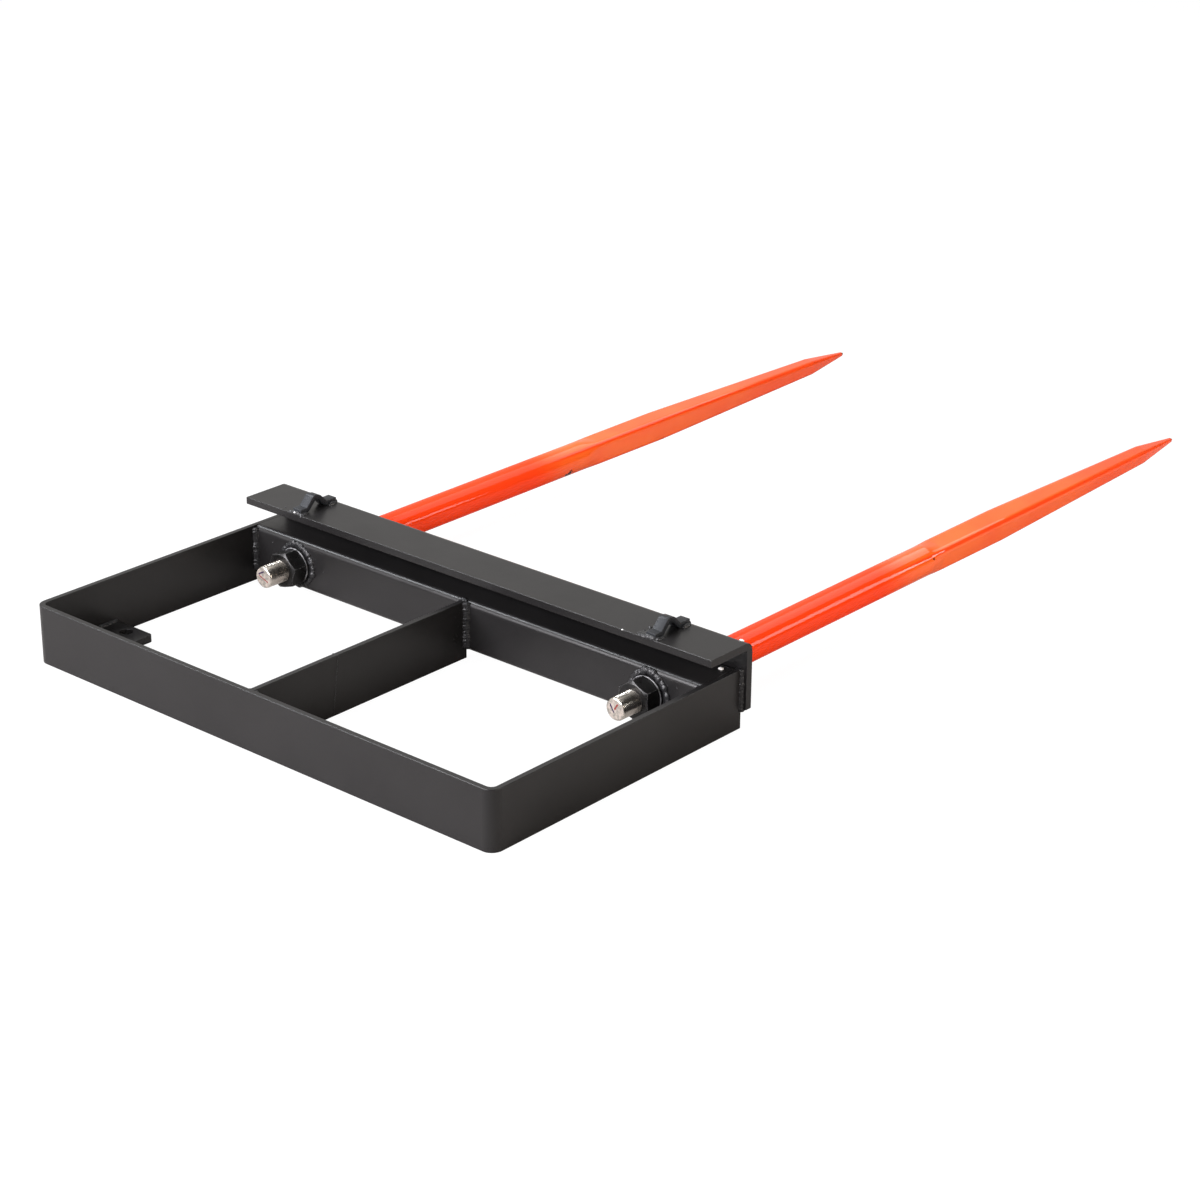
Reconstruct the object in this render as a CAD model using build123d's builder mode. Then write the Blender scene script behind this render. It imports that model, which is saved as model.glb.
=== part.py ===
from build123d import *
import os
from math import atan2, cos, degrees, radians, sin, tan

os.makedirs("parts", exist_ok=True)

# Bale spear that slides onto the cutting edge of a loader bucket, in millimetres.
# The bucket's edge goes into the slot between the cross beam and the flange above it,
# the flat-bar frame lies under the bucket floor, and chains hold it at the loops and lugs.
# The origin is the middle of the frame's underside. +Y runs to the tips of the tines, +Z is up.

# Flat-bar frame, one bar bent to a U
frame_width = 800.0
frame_depth = 445.0
strip_height = 80.0
strip_thickness = 8.0
strip_bend_radius = 8.0
strip_edge_radius = 1.0

# Middle bar of the same flat bar, in two lengths that butt at a slanted seam
seam_setback = 234.0
seam_slant = 10.0

# Cross beam, a square tube flush with the top of the frame
beam_size = 70.0
beam_wall = 4.0
beam_corner_radius = 8.0

# Folded edge plate: a web on the beam's front face and a flange back over the slot
plate_thickness = 10.0
plate_bend_radius = 3.0
plate_overhang = 8.0
plate_edge_radius = 0.8
web_height = 90.0
slot_height = 27.0

# Tines, each one forging: thread, cone, round shank, square stretch, taper and point
tine_inset = 89.0
tine_axis_height = 44.0
shank_diameter = 44.0
shank_length = 485.0
flats_length = 28.0
square_length = 150.0
taper_length = 387.0
point_length = 89.0
tip_length = 3.0
root_square = 37.2
root_corner_radius = 8.4
waist_square = 37.0
waist_corner_radius = 7.6
point_square = 23.2
point_corner_radius = 6.2
tip_square = 6.0
tip_corner_radius = 2.0
end_square = 3.4
end_corner_radius = 1.4
left_tine_roll = -3.3
right_tine_roll = -11.7
cone_length = 86.0
cone_small_diameter = 32.0

# Thread of the tines, as its plain core, and the hexagon nuts on it
thread_diameter = 30.0
thread_depth = 1.0
thread_stickout = 32.5
thread_end_chamfer = 1.8
nut_across_flats = 46.0
nut_height = 24.0
nut_bore_chamfer = 1.2
nut_face_share = 0.96
nut_crown_slope = 30.0
left_nut_roll = 16.0
right_nut_roll = 34.5

# Tapered sockets welded through the beam and the web, with a neck through the beam's rear wall
socket_diameter = 58.0
socket_neck_diameter = 50.0
socket_neck_chamfer = 0.8
socket_rear_reach = 6.0
socket_front_reach = 10.0
socket_mouth_chamfer = 2.0

# Chain loops, short lengths of flat bar bent to a hat on the flange
loop_bar_thickness = 7.0
loop_bar_width = 15.0
loop_bend_radius = 0.6
loop_setback = 3.0
loop_length = 66.0
loop_rear_foot = 12.9
loop_front_foot = 19.0
loop_top_reach = 26.8
loop_top_rear_height = 17.7
loop_top_length = 8.4
loop_top_front_height = 15.5

# Chain lugs inside the frame's rear corners
lug_thickness = 10.0
lug_width = 34.0
lug_reach = 69.0
lug_corner_radius = 5.0
lug_clearance_below = 8.0
lug_setback = 247.5
lug_hole_diameter = 18.0
lug_hole_reach = 36.3

# Weld beads
bead_crown_share = 0.57
socket_front_bead = 6.0
socket_rear_bead = 9.0
socket_bead_climb = 3.0
beam_end_bead = 7.0
middle_bead = 7.0
middle_bead_margin = 4.0
seam_bead_width = 3.0
seam_bead_height = 0.6
plate_end_bead = 5.0
plate_lower_bead = 7.0
plate_lower_bead_inset = 71.0
loop_bead = 5.0
loop_bead_length = 26.0
lug_bead = 4.0
lug_bead_length = 27.0

# Places that follow from the sizes
frame_rear = -frame_depth / 2
beam_front = frame_depth / 2
beam_rear = beam_front - beam_size
inside_half_width = frame_width / 2 - strip_thickness
tine_spacing = frame_width - 2 * tine_inset
beam_bottom = strip_height - beam_size
plate_front = beam_front + plate_thickness
flange_bottom = strip_height + slot_height
flange_top = flange_bottom + plate_thickness
web_bottom = flange_top - web_height
plate_half_length = frame_width / 2 + plate_overhang
socket_end = beam_rear - socket_rear_reach
socket_mouth = plate_front + socket_front_reach
nut_end = socket_end - nut_height
stub_end = nut_end - thread_stickout
flats_start = socket_mouth + shank_length
square_start = flats_start + flats_length
waist_start = square_start + square_length
point_start = waist_start + taper_length
tip_start = point_start + point_length
tine_end = tip_start + tip_length
thread_core_radius = thread_diameter / 2 - thread_depth
socket_radius = socket_diameter / 2
neck_radius = socket_neck_diameter / 2
neck_shoulder = beam_rear + beam_wall
tine_places = (("left", -tine_spacing / 2), ("right", tine_spacing / 2))
side_places = (("left", -1), ("right", 1))


def across_tine(x, y, roll=0):
    """Plane across a tine's axis at y, with its X turned by roll degrees from the row's X towards +Z."""
    turned = (cos(radians(roll)), 0, sin(radians(roll)))
    return Plane(origin=(x, y, tine_axis_height), x_dir=turned, z_dir=(0, -1, 0))


def along_tine(x):
    """Plane through a tine's axis, whose X is the row's Y and whose Y is the radius."""
    return Plane(origin=(x, 0, tine_axis_height), x_dir=(0, 1, 0), z_dir=(1, 0, 0))


def tine_axis(x):
    return Axis((x, 0, tine_axis_height), (0, 1, 0))


def bead_section(corner, first, second, leg):
    """Section of a fillet weld: two legs from the corner it fills, and a crowned face between them."""
    normal = Vector(*first).cross(Vector(*second))
    crown = bead_crown_share * leg
    with BuildSketch(Plane(origin=corner, x_dir=first, z_dir=normal)) as section:
        with BuildLine():
            Line((0, 0), (leg, 0))
            ThreePointArc((leg, 0), (crown, crown), (0, leg))
            Line((0, leg), (0, 0))
        make_face()
    return section.sketch


# Frame: the flat bar runs from the web, round both rear corners and back
with BuildPart() as frame_strip:
    with BuildSketch():
        with BuildLine():
            middle = strip_thickness / 2
            FilletPolyline(
                (middle - frame_width / 2, beam_front),
                (middle - frame_width / 2, frame_rear + middle),
                (frame_width / 2 - middle, frame_rear + middle),
                (frame_width / 2 - middle, beam_front),
                radius=strip_bend_radius + middle,
            )
        trace(line_width=strip_thickness)
    extrude(amount=strip_height)
    end_edges = frame_strip.faces().filter_by(Axis.Y).group_by(Axis.Y)[-1].edges()
    fillet(frame_strip.faces().filter_by(Axis.Z).edges() - end_edges, strip_edge_radius)
frame_strip.part.label = "frame_strip"
export_step(frame_strip.part, "parts/frame_strip.step")

# Middle bar, rear and front lengths, which meet at the slanted seam
seam_top = beam_rear - seam_setback + seam_slant / 2
seam_bottom = seam_top - seam_slant
with BuildPart() as middle_bar_rear:
    with BuildSketch(Plane.YZ):
        with BuildLine():
            Polyline(
                (frame_rear + strip_thickness, 0),
                (seam_bottom, 0),
                (seam_top, strip_height),
                (frame_rear + strip_thickness, strip_height),
                close=True,
            )
        make_face()
    extrude(amount=strip_thickness / 2, both=True)
    fillet(middle_bar_rear.edges().filter_by(Axis.Y), strip_edge_radius)
middle_bar_rear.part.label = "middle_bar_rear"
export_step(middle_bar_rear.part, "parts/middle_bar_rear.step")

with BuildPart() as middle_bar_front:
    with BuildSketch(Plane.YZ):
        with BuildLine():
            Polyline(
                (seam_bottom, 0),
                (beam_rear, 0),
                (beam_rear, strip_height),
                (seam_top, strip_height),
                close=True,
            )
        make_face()
    extrude(amount=strip_thickness / 2, both=True)
    fillet(middle_bar_front.edges().filter_by(Axis.Y), strip_edge_radius)
middle_bar_front.part.label = "middle_bar_front"
export_step(middle_bar_front.part, "parts/middle_bar_front.step")

# Cross beam, with a hole for each socket's neck in its rear wall and for the socket from there on
socket_bores = ((beam_rear, neck_shoulder, neck_radius), (neck_shoulder, beam_front, socket_radius))
with BuildPart() as cross_beam:
    with BuildSketch(Plane.YZ):
        with Locations((beam_rear + beam_size / 2, beam_bottom + beam_size / 2)):
            RectangleRounded(beam_size, beam_size, beam_corner_radius)
            bore = beam_size - 2 * beam_wall
            RectangleRounded(bore, bore, beam_corner_radius - beam_wall, mode=Mode.SUBTRACT)
    extrude(amount=inside_half_width, both=True)
    for start, end, radius in socket_bores:
        with BuildSketch(Plane.XZ.offset(-start)):
            with Locations((-tine_spacing / 2, tine_axis_height), (tine_spacing / 2, tine_axis_height)):
                Circle(radius)
        extrude(amount=start - end, mode=Mode.SUBTRACT)
cross_beam.part.label = "cross_beam"
export_step(cross_beam.part, "parts/cross_beam.step")

# Edge plate, with the web cut away round each socket
with BuildPart() as edge_plate:
    with BuildSketch(Plane.YZ):
        with BuildLine():
            web_middle = beam_front + plate_thickness / 2
            FilletPolyline(
                (beam_rear, flange_bottom + plate_thickness / 2),
                (web_middle, flange_bottom + plate_thickness / 2),
                (web_middle, web_bottom),
                radius=plate_bend_radius + plate_thickness / 2,
            )
        trace(line_width=plate_thickness)
    extrude(amount=plate_half_length, both=True)
    fillet(edge_plate.edges().filter_by(Axis.X).group_by(Axis.Y)[0], plate_edge_radius)
    web_bottom_edges = edge_plate.edges().filter_by(Axis.X).group_by(Axis.Z)[0]
    fillet(web_bottom_edges.sort_by(Axis.Y)[-1], plate_edge_radius)
    with BuildSketch(Plane.XZ.offset(-beam_front)):
        with Locations((-tine_spacing / 2, tine_axis_height), (tine_spacing / 2, tine_axis_height)):
            Circle(socket_radius)
    extrude(amount=-plate_thickness, mode=Mode.SUBTRACT)
edge_plate.part.label = "edge_plate"
export_step(edge_plate.part, "parts/edge_plate.step")

# Sockets: a tapered bore from the mouth, then a plain one to the neck's rim that the nut bears on
for side, x in tine_places:
    with BuildPart() as socket:
        with BuildSketch(along_tine(x)):
            with BuildLine():
                Polyline(
                    (socket_end, cone_small_diameter / 2),
                    (socket_mouth - cone_length, cone_small_diameter / 2),
                    (socket_mouth, shank_diameter / 2),
                    (socket_mouth, socket_radius - socket_mouth_chamfer),
                    (socket_mouth - socket_mouth_chamfer, socket_radius),
                    (neck_shoulder, socket_radius),
                    (neck_shoulder, neck_radius),
                    (socket_end + socket_neck_chamfer, neck_radius),
                    (socket_end, neck_radius - socket_neck_chamfer),
                    close=True,
                )
            make_face()
        revolve(axis=tine_axis(x))
    socket.part.label = f"{side}_socket"
    export_step(socket.part, f"parts/{side}_socket.step")

# Tines: turned thread, cone and shank, and forged flats, square stretch, taper and point in one solid
tine_rolls = {"left": left_tine_roll, "right": right_tine_roll}
forged_stations = (
    (square_start, root_square, root_corner_radius),
    (waist_start, waist_square, waist_corner_radius),
    (point_start, point_square, point_corner_radius),
    (tip_start, tip_square, tip_corner_radius),
    (tine_end, end_square, end_corner_radius),
)
for side, x in tine_places:
    with BuildPart() as tine:
        with BuildSketch(along_tine(x)):
            with BuildLine():
                Polyline(
                    (stub_end, 0),
                    (stub_end, thread_core_radius - thread_end_chamfer),
                    (stub_end + thread_end_chamfer, thread_core_radius),
                    (socket_mouth - cone_length, thread_core_radius),
                    (socket_mouth - cone_length, cone_small_diameter / 2),
                    (socket_mouth, shank_diameter / 2),
                    (flats_start, shank_diameter / 2),
                    (flats_start, 0),
                    close=True,
                )
            make_face()
        revolve(axis=tine_axis(x))
        # The shank's circle is cut into the arcs that the sides and corners of the square grow from
        side_angle = 2 * degrees(atan2(root_square / 2 - root_corner_radius, root_square / 2))
        with BuildSketch(across_tine(x, flats_start, tine_rolls[side])):
            with BuildLine():
                for quarter in range(4):
                    start = 90 * quarter - side_angle / 2
                    CenterArc((0, 0), shank_diameter / 2, start, side_angle)
                    CenterArc((0, 0), shank_diameter / 2, start + side_angle, 90 - side_angle)
            make_face()
        for y, square, corner_radius in forged_stations:
            with BuildSketch(across_tine(x, y, tine_rolls[side])):
                RectangleRounded(square, square, corner_radius)
        loft(ruled=True)
    tine.part.label = f"{side}_tine"
    export_step(tine.part, f"parts/{side}_tine.step")

# Nuts: both faces of the hexagon are turned back to a crown
nut_rolls = {"left": left_nut_roll, "right": right_nut_roll}
nut_corner_radius = nut_across_flats / (2 * cos(radians(30)))
nut_face_radius = nut_face_share * nut_across_flats / 2
nut_crown_depth = (nut_corner_radius - nut_face_radius) * tan(radians(nut_crown_slope))
for side, x in tine_places:
    with BuildPart() as nut:
        with BuildSketch(across_tine(x, socket_end, nut_rolls[side])):
            RegularPolygon(nut_corner_radius, 6)
        extrude(amount=nut_height)
        with BuildSketch(along_tine(x)):
            with BuildLine():
                Polyline(
                    (nut_end, 0),
                    (nut_end, nut_face_radius),
                    (nut_end + nut_crown_depth, nut_corner_radius),
                    (socket_end - nut_crown_depth, nut_corner_radius),
                    (socket_end, nut_face_radius),
                    (socket_end, 0),
                    close=True,
                )
            make_face()
        revolve(axis=tine_axis(x), mode=Mode.INTERSECT)
        with BuildSketch(across_tine(x, socket_end)):
            Circle(thread_core_radius)
        extrude(amount=nut_height, mode=Mode.SUBTRACT)
        chamfer(nut.edges().filter_by(GeomType.CIRCLE).sort_by(SortBy.RADIUS)[:2], nut_bore_chamfer)
    nut.part.label = f"{side}_nut"
    export_step(nut.part, f"parts/{side}_nut.step")

# Chain loops, centred over the tines
loop_rear = beam_rear + loop_setback
loop_rear_bead = loop_setback - plate_edge_radius
foot_height = flange_top + loop_bar_thickness / 2
top_rear = loop_rear + loop_top_reach
for side, x in tine_places:
    with BuildPart() as chain_loop:
        with BuildSketch(Plane.YZ.offset(x)):
            with BuildLine():
                FilletPolyline(
                    (loop_rear, foot_height),
                    (loop_rear + loop_rear_foot, foot_height),
                    (top_rear, flange_top + loop_top_rear_height),
                    (top_rear + loop_top_length, flange_top + loop_top_front_height),
                    (loop_rear + loop_length - loop_front_foot, foot_height),
                    (loop_rear + loop_length, foot_height),
                    radius=loop_bend_radius + loop_bar_thickness / 2,
                )
            trace(line_width=loop_bar_thickness)
        extrude(amount=loop_bar_width / 2, both=True)
    chain_loop.part.label = f"{side}_chain_loop"
    export_step(chain_loop.part, f"parts/{side}_chain_loop.step")

# Chain lugs, on the frame's inner faces
lug_middle = beam_rear - lug_setback - lug_width / 2
for side, sign in side_places:
    with BuildPart() as lug:
        with BuildSketch(Plane.XY.offset(lug_clearance_below)):
            with Locations((sign * (inside_half_width - lug_reach / 2), lug_middle)):
                Rectangle(lug_reach, lug_width)
            with Locations((sign * (inside_half_width - lug_hole_reach), lug_middle)):
                Circle(lug_hole_diameter / 2, mode=Mode.SUBTRACT)
        extrude(amount=lug_thickness)
        tip_corners = lug.edges().filter_by(Axis.Z).sort_by(lambda edge: abs(edge.center().X))[:2]
        fillet(tip_corners, lug_corner_radius)
    lug.part.label = f"{side}_lug"
    export_step(lug.part, f"parts/{side}_lug.step")

# Ring beads of the sockets: round the neck on the beam, and on the web as far down as it reaches
for side, x in tine_places:
    with BuildPart() as socket_rear_weld:
        with BuildSketch(along_tine(x)):
            outer = (beam_rear, neck_radius + socket_rear_bead)
            inner = (beam_rear - socket_bead_climb, neck_radius)
            crown = (
                beam_rear - bead_crown_share * socket_bead_climb,
                neck_radius + bead_crown_share * socket_rear_bead,
            )
            with BuildLine():
                Line((beam_rear, neck_radius), outer)
                ThreePointArc(outer, crown, inner)
                Line(inner, (beam_rear, neck_radius))
            make_face()
        revolve(axis=tine_axis(x))
    socket_rear_weld.part.label = f"{side}_socket_rear_weld"
    export_step(socket_rear_weld.part, f"parts/{side}_socket_rear_weld.step")

    corner = (x, plate_front, tine_axis_height + socket_radius)
    with BuildPart() as socket_front_weld:
        revolve(bead_section(corner, (0, 1, 0), (0, 0, 1), socket_front_bead), axis=tine_axis(x))
        split(bisect_by=Plane.XY.offset(web_bottom), keep=Keep.TOP)
    socket_front_weld.part.label = f"{side}_socket_front_weld"
    export_step(socket_front_weld.part, f"parts/{side}_socket_front_weld.step")

# Beads down the corners between the beam's rear face and the frame's sides
beam_flat_height = beam_size - 2 * beam_corner_radius
beam_flat_middle = beam_bottom + beam_size / 2
for side, sign in side_places:
    with BuildPart() as beam_end_weld:
        corner = (sign * inside_half_width, beam_rear, beam_flat_middle)
        extrude(
            bead_section(corner, (-sign, 0, 0), (0, -1, 0), beam_end_bead),
            amount=beam_flat_height / 2,
            both=True,
        )
    beam_end_weld.part.label = f"{side}_beam_end_weld"
    export_step(beam_end_weld.part, f"parts/{side}_beam_end_weld.step")

    # Bead between the frame's outer face and the part of the web that stands past it
    with BuildPart() as plate_end_weld:
        corner = (sign * frame_width / 2, beam_front, (web_bottom + strip_height) / 2)
        extrude(
            bead_section(corner, (sign, 0, 0), (0, -1, 0), plate_end_bead),
            amount=(strip_height - web_bottom) / 2,
            both=True,
        )
    plate_end_weld.part.label = f"{side}_plate_end_weld"
    export_step(plate_end_weld.part, f"parts/{side}_plate_end_weld.step")

    with BuildPart() as lug_weld:
        corner = (sign * inside_half_width, lug_middle, lug_clearance_below + lug_thickness)
        extrude(
            bead_section(corner, (-sign, 0, 0), (0, 0, 1), lug_bead),
            amount=lug_bead_length / 2,
            both=True,
        )
    lug_weld.part.label = f"{side}_lug_weld"
    export_step(lug_weld.part, f"parts/{side}_lug_weld.step")

# Beads down both sides of the middle bar, at the beam and at the rear of the frame
with BuildPart() as middle_bar_front_weld:
    for side, sign in side_places:
        corner = (sign * strip_thickness / 2, beam_rear, beam_flat_middle)
        extrude(
            bead_section(corner, (sign, 0, 0), (0, -1, 0), middle_bead),
            amount=beam_flat_height / 2,
            both=True,
        )
middle_bar_front_weld.part.label = "middle_bar_front_weld"
export_step(middle_bar_front_weld.part, "parts/middle_bar_front_weld.step")

with BuildPart() as middle_bar_rear_weld:
    for side, sign in side_places:
        corner = (sign * strip_thickness / 2, frame_rear + strip_thickness, strip_height / 2)
        extrude(
            bead_section(corner, (sign, 0, 0), (0, 1, 0), middle_bead),
            amount=strip_height / 2 - middle_bead_margin,
            both=True,
        )
middle_bar_rear_weld.part.label = "middle_bar_rear_weld"
export_step(middle_bar_rear_weld.part, "parts/middle_bar_rear_weld.step")

# Low beads over the slanted seam, one on each face of the middle bar
bead_foot = seam_bottom + seam_slant * middle_bead_margin / strip_height
bead_head = seam_top - seam_slant * strip_edge_radius / strip_height
with BuildPart() as middle_bar_seam_weld:
    for side, sign in side_places:
        with BuildSketch(Plane.YZ.offset(sign * strip_thickness / 2)):
            with BuildLine():
                Polyline(
                    (bead_foot - seam_bead_width / 2, middle_bead_margin),
                    (bead_foot + seam_bead_width / 2, middle_bead_margin),
                    (bead_head + seam_bead_width / 2, strip_height - strip_edge_radius),
                    (bead_head - seam_bead_width / 2, strip_height - strip_edge_radius),
                    close=True,
                )
            make_face()
        extrude(amount=sign * seam_bead_height)
middle_bar_seam_weld.part.label = "middle_bar_seam_weld"
export_step(middle_bar_seam_weld.part, "parts/middle_bar_seam_weld.step")

# Bead under the web, along the beam's front face between the sockets
with BuildPart() as plate_lower_weld:
    extrude(
        bead_section((0, beam_front, web_bottom), (0, 1, 0), (0, 0, -1), plate_lower_bead),
        amount=tine_spacing / 2 - plate_lower_bead_inset,
        both=True,
    )
plate_lower_weld.part.label = "plate_lower_weld"
export_step(plate_lower_weld.part, "parts/plate_lower_weld.step")

# Beads at both ends of the chain loops
for side, x in tine_places:
    with BuildPart() as loop_rear_weld:
        extrude(
            bead_section((x, loop_rear, flange_top), (0, -1, 0), (0, 0, 1), loop_rear_bead),
            amount=loop_bead_length / 2,
            both=True,
        )
    loop_rear_weld.part.label = f"{side}_loop_rear_weld"
    export_step(loop_rear_weld.part, f"parts/{side}_loop_rear_weld.step")

    with BuildPart() as loop_front_weld:
        extrude(
            bead_section((x, loop_rear + loop_length, flange_top), (0, 1, 0), (0, 0, 1), loop_bead),
            amount=loop_bar_width / 2,
            both=True,
        )
    loop_front_weld.part.label = f"{side}_loop_front_weld"
    export_step(loop_front_weld.part, f"parts/{side}_loop_front_weld.step")
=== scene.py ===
import math
import random
import bpy
from mathutils import Matrix, Vector, noise


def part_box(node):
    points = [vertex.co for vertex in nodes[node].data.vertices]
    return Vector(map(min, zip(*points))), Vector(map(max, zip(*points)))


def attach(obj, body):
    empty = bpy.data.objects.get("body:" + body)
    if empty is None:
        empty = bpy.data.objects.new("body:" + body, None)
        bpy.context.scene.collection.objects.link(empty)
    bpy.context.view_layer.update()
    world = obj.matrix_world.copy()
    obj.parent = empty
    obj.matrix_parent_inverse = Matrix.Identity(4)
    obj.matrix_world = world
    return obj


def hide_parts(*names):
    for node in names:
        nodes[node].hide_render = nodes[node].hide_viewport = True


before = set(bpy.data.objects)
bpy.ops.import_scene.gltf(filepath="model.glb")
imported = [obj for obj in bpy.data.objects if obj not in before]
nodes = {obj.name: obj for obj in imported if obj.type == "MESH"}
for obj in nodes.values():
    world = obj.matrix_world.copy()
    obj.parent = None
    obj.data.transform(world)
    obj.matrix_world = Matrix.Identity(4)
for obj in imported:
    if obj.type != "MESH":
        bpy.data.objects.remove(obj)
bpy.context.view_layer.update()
bpy.ops.object.select_all(action="DESELECT")

MM = 0.001


# Places that the welds, threads and marks take from the frame

beam_low, beam_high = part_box("cross_beam")
plate_low, plate_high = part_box("edge_plate")
strip_low, strip_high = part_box("frame_strip")
lug_low, lug_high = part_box("right_lug")
socket_low, socket_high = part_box("right_socket")
nut_low, nut_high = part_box("right_nut")
tine_low, tine_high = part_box("right_tine")

BEAM_REAR = beam_low.y
BEAM_FRONT = beam_high.y
BEAM_TOP = beam_high.z
BEAM_BOTTOM = beam_low.z
BEAM_END = beam_high.x
PLATE_FRONT = plate_high.y
FLANGE_TOP = plate_high.z
WEB_BOTTOM = plate_low.z
FRAME_SIDE = strip_high.x
TINE_X = (socket_low.x + socket_high.x) / 2
TINE_Z = (socket_low.z + socket_high.z) / 2
SOCKET_RADIUS = (socket_high.x - socket_low.x) / 2
STUB_END = tine_low.y
TINE_TIP = tine_high.y
NUT_REAR = nut_low.y
NUT_FRONT = nut_high.y
BAR_HALF = 4 * MM
SEAM_TOP = Vector((0, -76.5, 79)) * MM
SEAM_FOOT = Vector((0, -86, 4)) * MM
SIDES = (("left", -1), ("right", 1))


# Camera, at the photograph's viewing angle. The photograph is a square.

CAMERA_PLACE = Vector((2.36864, -2.31372, 1.53239))
CAMERA_AZIMUTH = 40.91
CAMERA_ELEVATION = 23.02
CAMERA_ROLL = 0.39
CAMERA_LENS = 86.69
CAMERA_SENSOR = 36.0


def add_camera():
    azimuth = math.radians(CAMERA_AZIMUTH)
    elevation = math.radians(CAMERA_ELEVATION)
    forward = Vector((
        -math.sin(azimuth) * math.cos(elevation),
        math.cos(azimuth) * math.cos(elevation),
        -math.sin(elevation),
    ))
    level = Vector((math.cos(azimuth), math.sin(azimuth), 0))
    upright = level.cross(forward)
    roll = math.radians(CAMERA_ROLL)
    right = math.cos(roll) * level + math.sin(roll) * upright
    up = math.cos(roll) * upright - math.sin(roll) * level
    data = bpy.data.cameras.new("camera")
    data.lens = CAMERA_LENS
    data.sensor_width = CAMERA_SENSOR
    data.clip_end = 100
    camera = bpy.data.objects.new("camera", data)
    bpy.context.scene.collection.objects.link(camera)
    turn = Matrix((right, up, -forward)).transposed()
    camera.matrix_world = Matrix.Translation(CAMERA_PLACE) @ turn.to_4x4()
    bpy.context.scene.camera = camera


# Shader trees

def put(tree, kind, inputs=None, **settings):
    """Adds a shader node; each input is a value, or the output that feeds it."""
    node = tree.nodes.new("ShaderNode" + kind)
    for name, value in settings.items():
        setattr(node, name, value)
    for socket, value in (inputs or {}).items():
        if isinstance(value, bpy.types.NodeSocket):
            tree.links.new(value, node.inputs[socket])
        else:
            node.inputs[socket].default_value = value
    return node


def calculate(tree, operation, first, second=0.0):
    return put(tree, "Math", {0: first, 1: second}, operation=operation).outputs[0]


def ramp(tree, value, low, high, low_result=0.0, high_result=1.0):
    """Runs smoothly from one result to the other as the value goes from low to high."""
    settings = {
        "Value": value,
        "From Min": low,
        "From Max": high,
        "To Min": low_result,
        "To Max": high_result,
    }
    return put(tree, "MapRange", settings, interpolation_type="SMOOTHSTEP").outputs["Result"]


def blend(tree, factor, first, second):
    """Mixes two colours, by a factor that is 0 for the first and 1 for the second."""
    mix = put(tree, "Mix", {0: factor, 6: first, 7: second}, data_type="RGBA")
    return mix.outputs[2]


def object_place(tree):
    return put(tree, "TexCoord").outputs["Object"]


def new_group(name, inputs, outputs):
    """Starts a node group; returns its tree, its inputs by name and the node that takes its outputs."""
    tree = bpy.data.node_groups.new(name, "ShaderNodeTree")
    for socket, kind, value in inputs:
        made = tree.interface.new_socket(socket, in_out="INPUT", socket_type="NodeSocket" + kind)
        if value is not None:
            made.default_value = value
    for socket, kind in outputs:
        tree.interface.new_socket(socket, in_out="OUTPUT", socket_type="NodeSocket" + kind)
    start = tree.nodes.new("NodeGroupInput")
    end = tree.nodes.new("NodeGroupOutput")
    return tree, start.outputs, end


def place_group(tree, group, inputs):
    node = tree.nodes.new("ShaderNodeGroup")
    node.node_tree = group
    for socket, value in inputs.items():
        if isinstance(value, bpy.types.NodeSocket):
            tree.links.new(value, node.inputs[socket])
        else:
            node.inputs[socket].default_value = value
    return node.outputs


# Studio: a white surround, a pale floor and six soft lamps

WARM_FILL = (1.0, 0.975, 0.94, 1)
WHITE = (1, 1, 1, 1)
FILL_STRENGTH = 0.14
DARK_SIDE_STRENGTH = 0.05
BRIGHT_SIDE_STRENGTH = 0.7
BRIGHT_SIDE = (-0.954, 0.0, 0.3)
FLOOR_GREY = (0.4, 0.38, 0.36, 1)
FLOOR_MATT = (0.09, 0.09, 0.09, 1)
FLOOR_GLOW = 0.96
FLOOR_WIDTH = 60

# Name, place, the point it faces, width and height, watts, colour
LAMPS = (
    ("key_left", (-2.1, -0.3, 2.8), (0, 0.2, 0.05), (0.6, 1.8), 90, (0.92, 0.95, 1.0)),
    ("overhead", (-0.9, 0.9, 3.2), (0, 0.5, 0), (2.2, 2.2), 22, (1, 1, 1)),
    ("rear_left", (-0.9, -3.8, 1.9), (0, 0.1, 0.05), (3.4, 2.0), 475, (0.98, 0.96, 1.0)),
    ("right", (3.6, 0.5, 1.0), (0.2, 0.6, 0.05), (2.4, 1.4), 72, (1.0, 0.91, 0.82)),
    ("front_small", (1.6, 1.75, 0.62), (0.31, 0.45, 0.04), (0.8, 0.4), 7, (1, 1, 1)),
    ("front_top", (0.1, 3.4, 2.7), (0, 0.8, 0), (2.6, 1.2), 18, (1, 1, 1)),
)


def add_area_lamp(name, place, target, size, power, color):
    data = bpy.data.lights.new(name, "AREA")
    data.shape = "RECTANGLE"
    data.size, data.size_y = size
    data.energy = power
    data.color = color
    lamp = bpy.data.objects.new(name, data)
    lamp.location = place
    lamp.rotation_euler = (Vector(target) - Vector(place)).to_track_quat("-Z", "Y").to_euler()
    bpy.context.scene.collection.objects.link(lamp)


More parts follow.
